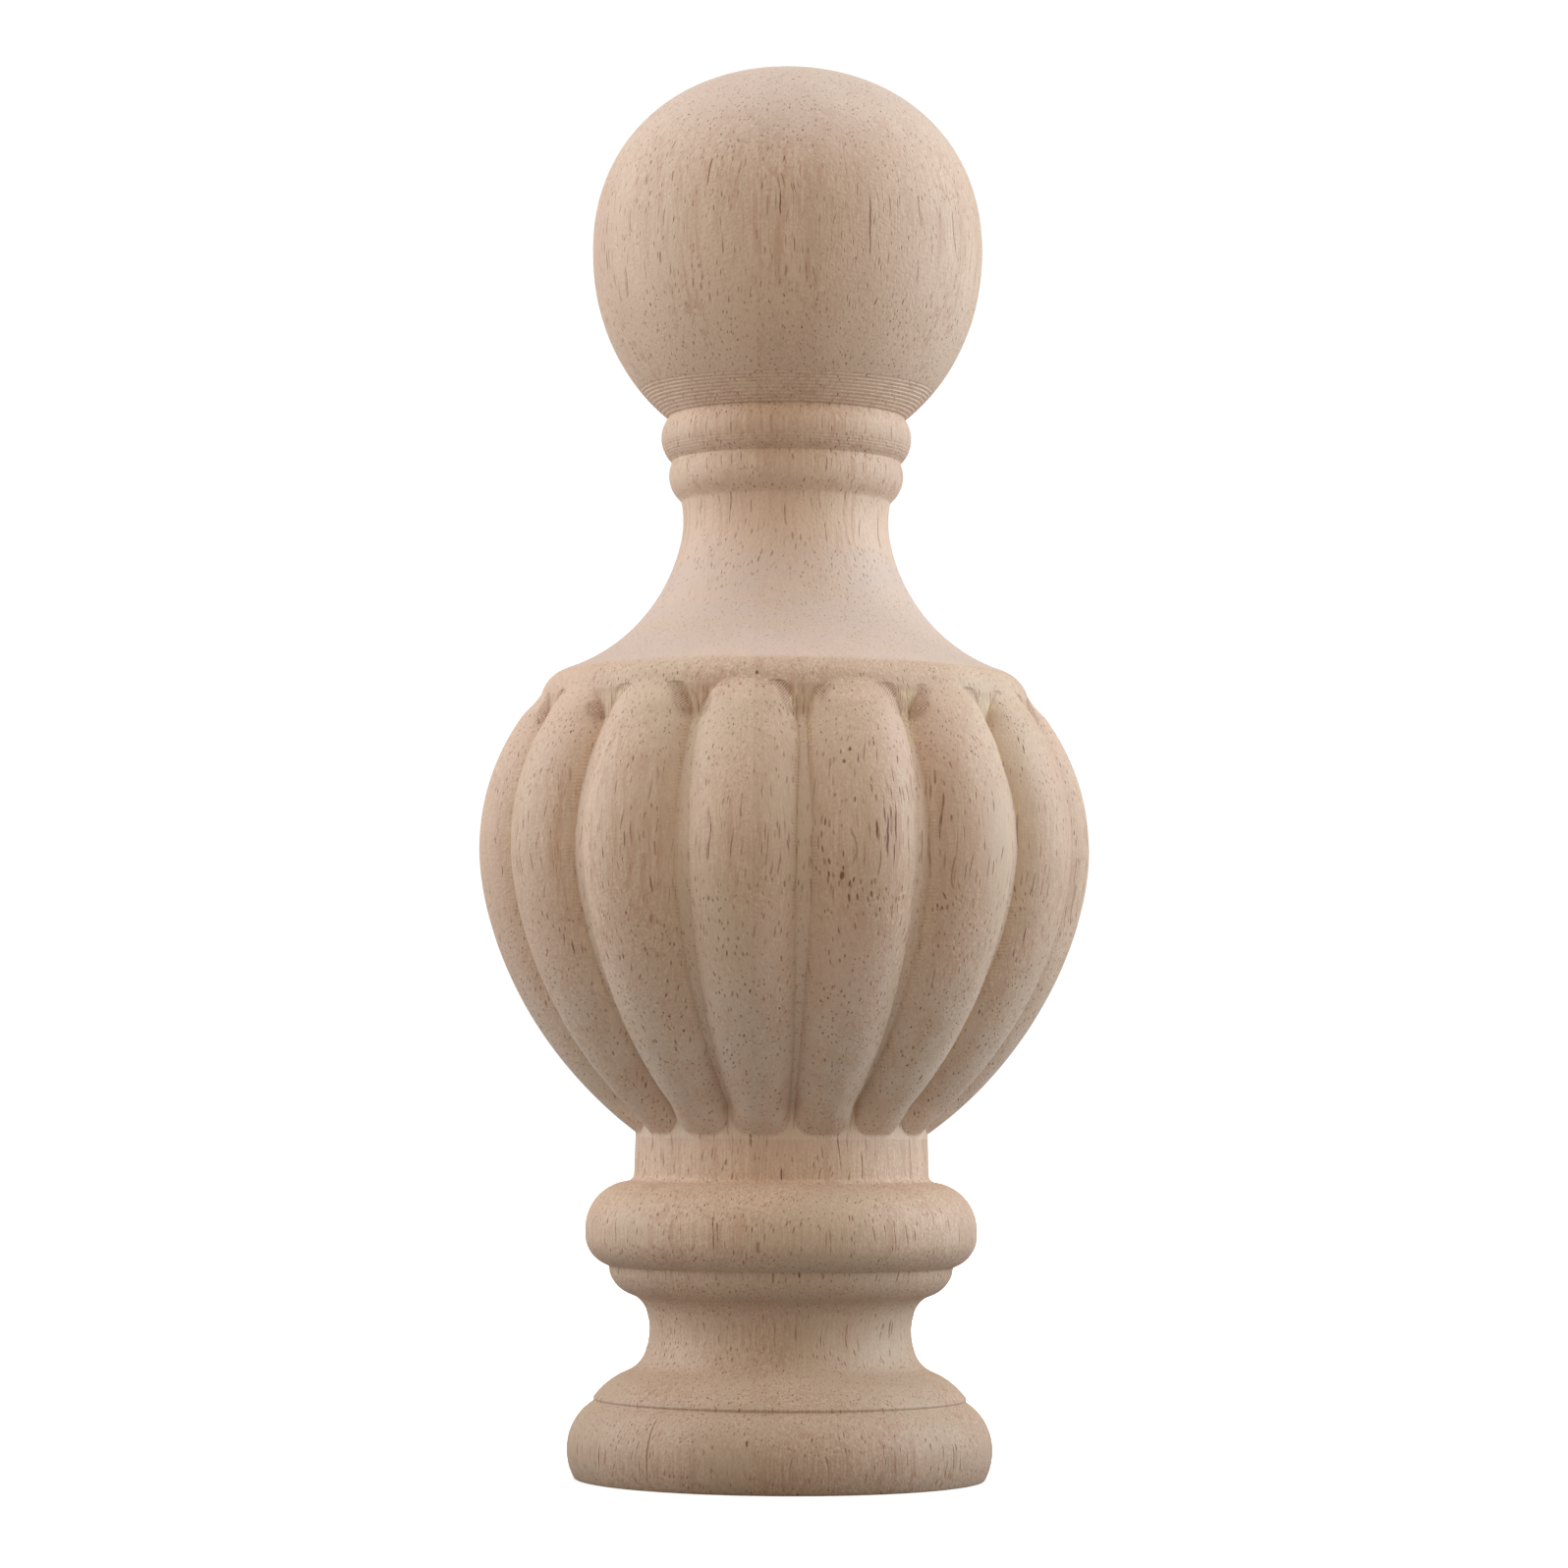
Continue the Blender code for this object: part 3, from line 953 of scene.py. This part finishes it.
def build_fleck_tree():
    inputs, outputs = [("Position", "Vector", None)], [("Fleck", "Float")]
    tree, given, result = new_group("ShaderNodeTree", "Flecks", inputs, outputs)
    place = wandered(given["Position"], FLECK_BEND_SIZE, FLECK_BEND)
    found = 0.0
    for turn, radius, height, length, width in FLECKS:
        angle = math.radians(turn)
        centre = (radius * math.sin(angle), -radius * math.cos(angle), height)
        feeds = {"Vector": place, "Location": centre, "Rotation": (0.0, 0.0, angle)}
        feeds["Scale"] = (width, FLECK_DEPTH, length)
        local = add("ShaderNodeMapping", feeds, vector_type="TEXTURE").outputs[0]
        found = most(found, ramp(vector("LENGTH", local), *FLECK_EDGE))
    feed(result["Fleck"], found)
    return tree


fleck_tree = build_fleck_tree()
print("flecks:", len(FLECKS))

# %% [markdown]
# ## Colour and relief
#
# Each tool leaves its own finish, so the tone of the wood follows zones of height: the neck is smooth,
# the carving rougher and darker, the low lobes greyer. Painted light makes the neck and the wood under the
# ball paler, and painted shade darkens the foot. Vessels, flecks and torn grain lie over that, with painted
# shade in the creases at the heads and painted light on the valley floors. The relief is far too fine for a
# mesh, so it is a bump in the material.

# %% Zones of finish
# Heights in mm: the foot, where it is full, where it starts to fade, and the top
ZONES = {
    "hand cut": (46.0, 56.0, 118.2, 118.5),
    "low lobes": (50.0, 56.0, 70.0, 92.0),
    "weathered lobes": (48.0, 53.0, 60.0, 84.0),
    "band": (114.2, 114.8, 117.2, 118.2),
    "flare": (117.9, 119.0, 126.0, 136.0),
    "planed neck": (117.9, 119.0, 132.0, 140.5),
    # Painted light: the neck is made paler, as light thrown up from the flare would make it.
    "lit neck": (120.0, 136.0, 146.0, 150.0),
    # Painted light: under the ball the wood is made paler.
    "under the ball": (152.0, 160.0, 172.0, 186.0),
}
# Heights in mm where a zone that has no other end comes in, and where it is full
FOOT = (50.0, 44.0)
# Painted shade darkens the foot, coming in at the first height and full from the second down.
FOOT_SHADE_HEIGHTS = (52.0, 8.0)
CROWN = (188.0, 206.0)
VALLEY_FLOORS = (112.0, 106.0)
# A patch of wider and darker vessels: its middle, its reach and how far from the middle it is full
DARK_PATCH = (15.0, -42.0, 93.0)
PATCH_REACH = 19.0
PATCH_FULL = 7.6
FLOOR_FROM = (0.78, 1.05)
LEAST_CARVED = 0.001


def wood_values(beside):
    """What the colour and the relief are worked out from, by name."""
    block = group(place_tree, beside)
    place, position = block["Place"], block["Position"]
    height = split(position)["Z"]
    patch = ramp(vector("DISTANCE", position, DARK_PATCH), PATCH_REACH, PATCH_FULL)
    marks = {}
    for name in ("valley", "across_lobe", "carved"):
        marks[name] = add("ShaderNodeAttribute", beside=beside, attribute_name=name).outputs["Fac"]
    # Both fade over the same row at the ends of the bulb, so their ratio stays true up to the end.
    valley = over(marks["valley"], most(marks["carved"], LEAST_CARVED))
    values = {"place": place, "height": height, "foot": ramp(height, *FOOT)}
    on_floor = ramp(valley, *FLOOR_FROM)
    # Painted light on the valley floors, which the narrow valleys shade; it fades out towards the heads.
    values["lit valley floor"] = times(on_floor, ramp(height, *VALLEY_FLOORS))
    for outputs in (
        group(tone_tree, Place=place, Stave=block["Stave"]),
        group(vessel_tree, Place=place, Patch=patch),
        group(fleck_tree, Position=position),
        group(torn_grain_and_shade_tree, Place=place, Valley=valley, Across=marks["across_lobe"], Height=height),
    ):
        values.update({socket.name.lower(): socket for socket in outputs})
    values.update({name: zone(height, span) for name, span in ZONES.items()})
    return values


print("zones:", ", ".join(ZONES))

# %% Bare wood
LIGHT_WOOD = (0.735, 0.548, 0.417, 1.0)
DEEP_WOOD = (0.560, 0.395, 0.285, 1.0)
PINK_WOOD = (0.650, 0.455, 0.350, 1.0)
GREEN_WOOD = (0.600, 0.470, 0.345, 1.0)
RED_WOOD = (0.50, 0.285, 0.19, 1.0)
# Shares of painted light on the neck and under the ball, and of darker tone on the hand cut carving
NECK_PAINTED_LIGHT = 0.6
BALL_PAINTED_LIGHT = 0.45
HAND_CUT_DARKER = 0.25
GRAIN = 1.7
FOOT_GRAIN = 1.3
BAND_GRAIN = 1.2
RED_SHARE = 0.45
# Where in the blush each tint starts and is full, and its share at both
PINK_FROM = (0.52, 0.72, 0.0, 0.5)
GREEN_FROM = (0.48, 0.28, 0.0, 0.5)


def bare_wood(wood, deepening):
    """Light and deep wood mixed by tone and fibre, with red lines and broad warm and cool patches, and
    painted light on the neck and under the ball.
    """
    # Painted light lifts the neck and the wood under the ball; the hand cut carving is darker wood.
    painted_light = plus(times(wood["lit neck"], NECK_PAINTED_LIGHT), times(wood["under the ball"], BALL_PAINTED_LIGHT))
    painted_light_and_cut_tone = minus(painted_light, times(wood["hand cut"], HAND_CUT_DARKER))
    foot, band = times(wood["foot"], FOOT_GRAIN), times(wood["band"], BAND_GRAIN)
    grain = times(wood["fibre"], plus(GRAIN, foot, band, wood["low lobes"]))
    level = plus(wood["tone"], grain, painted_light_and_cut_tone, -deepening)
    colour = mixed(clamped(level), DEEP_WOOD, LIGHT_WOOD)
    red = times(wood["red"], minus(RED_SHARE, times(RED_SHARE, wood["flare"])))
    colour = mixed(red, colour, RED_WOOD)
    colour = mixed(ramp(wood["blush"], *PINK_FROM), colour, PINK_WOOD)
    return mixed(ramp(wood["blush"], *GREEN_FROM), colour, GREEN_WOOD)


# %% Finish of the neck, the low lobes and the crown, and painted shade on the foot
PLANED_WOOD = (0.605, 0.495, 0.445, 1.0)
GREY_WOOD = (0.68, 0.58, 0.485, 1.0)
# Painted shade on the foot: the colour that the wood is multiplied by at the bottom
FOOT_SHADE_TINT = (0.735, 0.72, 0.71, 1.0)
PLANED_SHARE = 0.55
CROWN_SHARE = 0.4
# Sizes in mm, and for each noise where it starts and is full and its share at both
MOTTLE_SIZE = (9.0, 9.0, 2.2)
MOTTLE = (0.3, 0.7, 0.75, 1.25)
WEATHER_SIZE = (3.0, 3.0, 40.0)
WEATHER = (0.4, 0.6, 0.2, 0.5)


# Mottle on the planed neck, grey on the low lobes, end grain at the crown and painted shade on the foot.
def finish_and_foot_shade(wood, colour):
    mottle = ramp(noise(wood["place"], MOTTLE_SIZE), *MOTTLE)
    planed = times(wood["planed neck"], PLANED_SHARE, mottle)
    colour = mixed(planed, colour, PLANED_WOOD)
    weather = ramp(noise(wood["place"], WEATHER_SIZE), *WEATHER)
    colour = mixed(times(wood["weathered lobes"], weather), colour, GREY_WOOD)
    colour = mixed(ramp(wood["height"], *CROWN, 0.0, CROWN_SHARE), colour, PLANED_WOOD)
    # Painted shade: the wood gets darker towards the bottom.
    foot_shade = ramp(wood["height"], *FOOT_SHADE_HEIGHTS, smooth=False)
    return mixed(foot_shade, colour, FOOT_SHADE_TINT, way="MULTIPLY")


# %% Marks on the wood: vessels, flecks and torn grain
VESSEL_COLOUR = (0.38, 0.18, 0.095, 1.0)
DARK_COLOUR = (0.16, 0.055, 0.022, 1.0)
FUZZ_COLOUR = (0.80, 0.66, 0.42, 1.0)
# Painted light: the pale colour laid on the valley floors
PAINTED_VALLEY_LIGHT = (0.80, 0.66, 0.53, 1.0)
FLARE_HIDES = 0.7
VESSEL_SHARE = 0.6
MORE_VESSELS = 0.3
# Each mark in turn: how much of it shows, and its colour
MARKS = {
    "dark": (0.6, DARK_COLOUR),
    "fleck": (0.85, DARK_COLOUR),
    # Painted light on the valley floors
    "lit valley floor": (0.36, PAINTED_VALLEY_LIGHT),
    # Painted shade in the creases at the heads of the lobes
    "crease": (0.28, VESSEL_COLOUR),
    "comb": (0.6, VESSEL_COLOUR),
    "fuzz": (0.7, FUZZ_COLOUR),
}


def with_marks(wood, colour):
    """The colour with its marks, painted shade in the creases and painted light on the valley floors among
    them. Most vessels are closed up on the smooth flare.
    """
    shown = minus(1.0, times(wood["flare"], FLARE_HIDES))
    more = [times(wood[name], MORE_VESSELS) for name in ("foot", "low lobes")]
    vessels = times(wood["vessel"], shown, plus(VESSEL_SHARE, *more))
    colour = mixed(vessels, colour, VESSEL_COLOUR)
    shares = {"dark": shown}
    for name, (share, mark_colour) in MARKS.items():
        amount = times(wood[name], shares.get(name, 1.0), share)
        colour = mixed(amount, colour, mark_colour)
    return colour


print("marks:", ", ".join(MARKS))

# %% Relief, in mm
PEBBLE_SIZE = 0.55
PEBBLES = (0.35, 0.6, 0.02, 0.08)
FIBRE_RELIEF = 0.035
VESSEL_DEPTH = 0.1
COMB_RELIEF = -0.08
FUZZ_RELIEF = 0.05


def relief(wood):
    """Raised fibre and pebbles, sunken vessels, and the notches and fuzz of torn grain."""
    pebbles = noise(wood["place"], PEBBLE_SIZE, detail=1.0)
    pebbles = times(pebbles, ramp(wood["blush"], *PEBBLES))
    fibre = times(wood["fibre"], FIBRE_RELIEF)
    height = minus(fibre, times(wood["vessel"], VESSEL_DEPTH))
    torn = [times(wood["comb"], COMB_RELIEF), times(wood["fuzz"], FUZZ_RELIEF)]
    height = plus(height, pebbles, *torn)
    bump = add("ShaderNodeBump", {"Height": height, "Strength": 1.0, "Distance": MM})
    return bump.outputs["Normal"]


# %% The two materials: turned and carved wood, and the sawn underside
TURNED_ROUGHNESS = 0.62
SAWN_ROUGHNESS = 0.8
SAWN_DEEPER = 0.25


def wood_material(name, deepening, roughness):
    material, shader = new_material(name)
    wood = wood_values(shader["Base Color"])
    colour = finish_and_foot_shade(wood, bare_wood(wood, deepening))
    feed(shader["Base Color"], with_marks(wood, colour))
    feed(shader["Normal"], relief(wood))
    feed(shader["Roughness"], roughness)
    print(name, "has", len(material.node_tree.nodes), "nodes")
    return material


turned_wood = wood_material("turned_rubberwood", 0.0, TURNED_ROUGHNESS)
sawn_wood = wood_material("sawn_rubberwood", SAWN_DEEPER, SAWN_ROUGHNESS)

# %% [markdown]
# ## Turning and carving
#
# The tree now gets its sizes and its woods. What it makes is kept as a plain mesh, one closed piece like
# the solid that it stands for.

# %% Turn and carve the finial
def carved_finial():
    modifier = outline.modifiers.new("carving", "NODES")
    modifier.node_group = carving_tree
    values = {"Rows": row_count, "Columns": column_count, "Turned Wood": turned_wood, "Sawn Wood": sawn_wood}
    values.update(CARVING)
    for item in carving_tree.interface.items_tree:
        if item.name in values:
            modifier[item.identifier] = values[item.name]
    graph = bpy.context.evaluated_depsgraph_get()
    mesh = bpy.data.meshes.new_from_object(outline.evaluated_get(graph))
    outline.modifiers.remove(modifier)
    spare = outline.data
    outline.data = mesh
    bpy.data.meshes.remove(spare)
    mesh.name = "carved_finial"
    mesh.materials.pop(index=0)
    return outline


finial = carved_finial()
finial.data.calc_loop_triangles()
print("triangles:", len(finial.data.loop_triangles))

# %% Tie it to the frame
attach(finial, "root")
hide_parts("finial")
print("finial, mm:", [round(x / MM, 1) for x in finial.dimensions])

# %% [markdown]
# ## The studio
#
# The photograph was taken in a bright tent: broad soft light from both sides and from above, and little
# from the front, so that the middle of each round form is its darker part. The strengths come from lighting
# the plain shape with one lamp at a time and finding the mix that shades it as in the photograph.

# %% Floor
FLOOR_REACH = 3.0
FLOOR_SHADE = (0.25, 0.25, 0.25, 1.0)
FLOOR_SEEN = (0.9, 0.9, 0.9, 1.0)
FLOOR_ROUGHNESS = 0.9
WHITE = (1.0, 1.0, 1.0, 1.0)
# Distance in m over which the floor's glow comes up, and its strength at both ends
FLOOR_GLOW = (0.05, 0.5, 0.4, 1.0)


def floor_material():
    """A pale floor that fades into the white behind it. It throws back less light than it shows."""
    material, shader = new_material("pale_floor")
    seen = add("ShaderNodeLightPath", beside=shader["Base Color"]).outputs["Is Camera Ray"]
    away = vector("LENGTH", add("ShaderNodeTexCoord", beside=seen).outputs["Object"])
    feed(shader["Base Color"], mixed(seen, FLOOR_SHADE, FLOOR_SEEN))
    feed(shader["Roughness"], FLOOR_ROUGHNESS)
    feed(shader["Emission Color"], WHITE)
    feed(shader["Emission Strength"], times(seen, ramp(away, *FLOOR_GLOW)))
    return material


reach = FLOOR_REACH
corners = [(-reach, -reach, 0), (reach, -reach, 0), (reach, reach, 0), (-reach, reach, 0)]
floor_mesh = bpy.data.meshes.new("floor")
floor_mesh.from_pydata(corners, [], [(0, 1, 2, 3)])
floor = bpy.data.objects.new("floor", floor_mesh)
bpy.context.scene.collection.objects.link(floor)
floor_mesh.materials.append(floor_material())
print("floor, m across:", 2 * FLOOR_REACH)

# %% Surroundings: warm in what they light, plain white where the camera sees them
WARM_LIGHT = (1.0, 0.82, 0.62, 1.0)
LIGHT_STRENGTH = 0.74
SEEN_STRENGTH = 1.05

world = bpy.data.worlds.new("studio")
world.use_nodes = True
background = world.node_tree.nodes["Background"].inputs
seen = add("ShaderNodeLightPath", beside=background["Color"]).outputs["Is Camera Ray"]
feed(background["Color"], mixed(seen, WARM_LIGHT, WHITE))
feed(background["Strength"], chosen(seen, LIGHT_STRENGTH, SEEN_STRENGTH))
bpy.context.scene.world = world
print("strength as light and as seen:", LIGHT_STRENGTH, SEEN_STRENGTH)

# %% Lamps
LAMP_AIM = Vector((0.0, 0.0, 110.0)) * MM
LAMP_DISTANCE = 0.8
LAMP_SIZE = 0.64
# Name, turn from the front and rise in degrees, power in watts, and colour
LAMPS = (
    ("left", -95, 23, 4.45, (0.76, 0.88, 1.0)),
    ("right", 95, 20, 6.1, (0.70, 0.86, 1.0)),
    ("top", 0, 85, 2.6, (0.42, 0.70, 1.0)),
)


def add_lamp(name, round_from_front, upward, power, colour):
    """A square soft box aimed at the middle of the object. Angles are in degrees."""
    turn, rise = math.radians(round_from_front), math.radians(upward)
    direction = Vector((math.sin(turn) * math.cos(rise), -math.cos(turn) * math.cos(rise), math.sin(rise)))
    data = bpy.data.lights.new(name, "AREA")
    data.shape = "SQUARE"
    data.size = LAMP_SIZE
    data.energy = power
    data.color = colour
    lamp = bpy.data.objects.new(name, data)
    lamp.location = LAMP_AIM + direction * LAMP_DISTANCE
    lamp.rotation_euler = (-direction).to_track_quat("-Z", "Y").to_euler()
    lamp.visible_camera = False
    bpy.context.scene.collection.objects.link(lamp)


for lamp in LAMPS:
    add_lamp(*lamp)
print("lamps, W:", [lamp[3] for lamp in LAMPS])
bpy.context.scene.view_settings.view_transform = "Standard"
